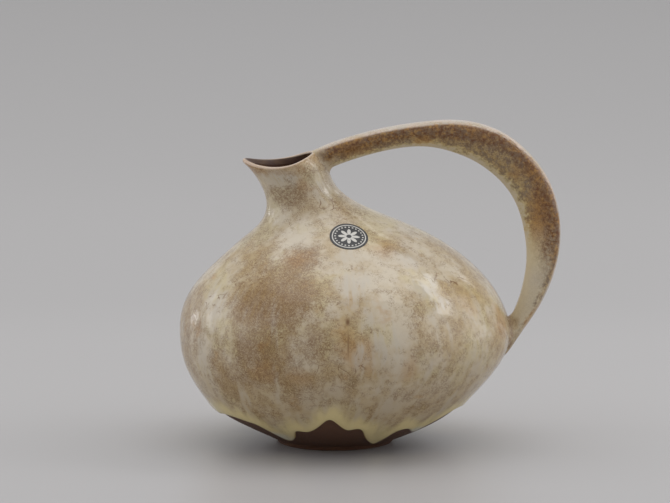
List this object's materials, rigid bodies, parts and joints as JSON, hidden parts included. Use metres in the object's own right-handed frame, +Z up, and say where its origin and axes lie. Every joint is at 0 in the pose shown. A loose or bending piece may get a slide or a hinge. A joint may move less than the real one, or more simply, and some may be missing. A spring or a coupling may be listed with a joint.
{
  "type": "handled vase",
  "caption": "Glazed stoneware jug vase with a wide flattened belly, leaning neck, dipped spout-like mouth and one tall loop handle from rim to belly.",
  "frame": {"origin": "centre of the foot ring's standing plane", "axes": "+Z up out of the mouth, +X from the spout towards the handle, +Y away from the side shown in the picture; the shape mirrors across the XZ plane apart from drips and label"},
  "size_m": [0.1826, 0.1494, 0.1555],
  "materials": {
    "bare_clay": "matt fired clay",
    "handle_clay": "matt fired clay",
    "joint_slip": "matt fired slip",
    "outer_glaze": "glossy mottled",
    "handle_glaze": "glossy mottled",
    "inner_glaze": "glossy",
    "label_foil": "satin foil paper"
  },
  "bodies": {
    "root": {"clay_body": "bare_clay", "handle": "handle_clay", "upper_joint": "joint_slip", "lower_joint": "joint_slip", "outer_glaze": "outer_glaze", "handle_glaze": "handle_glaze", "inner_glaze": "inner_glaze", "label": "label_foil"}
  },
  "joints": []
}
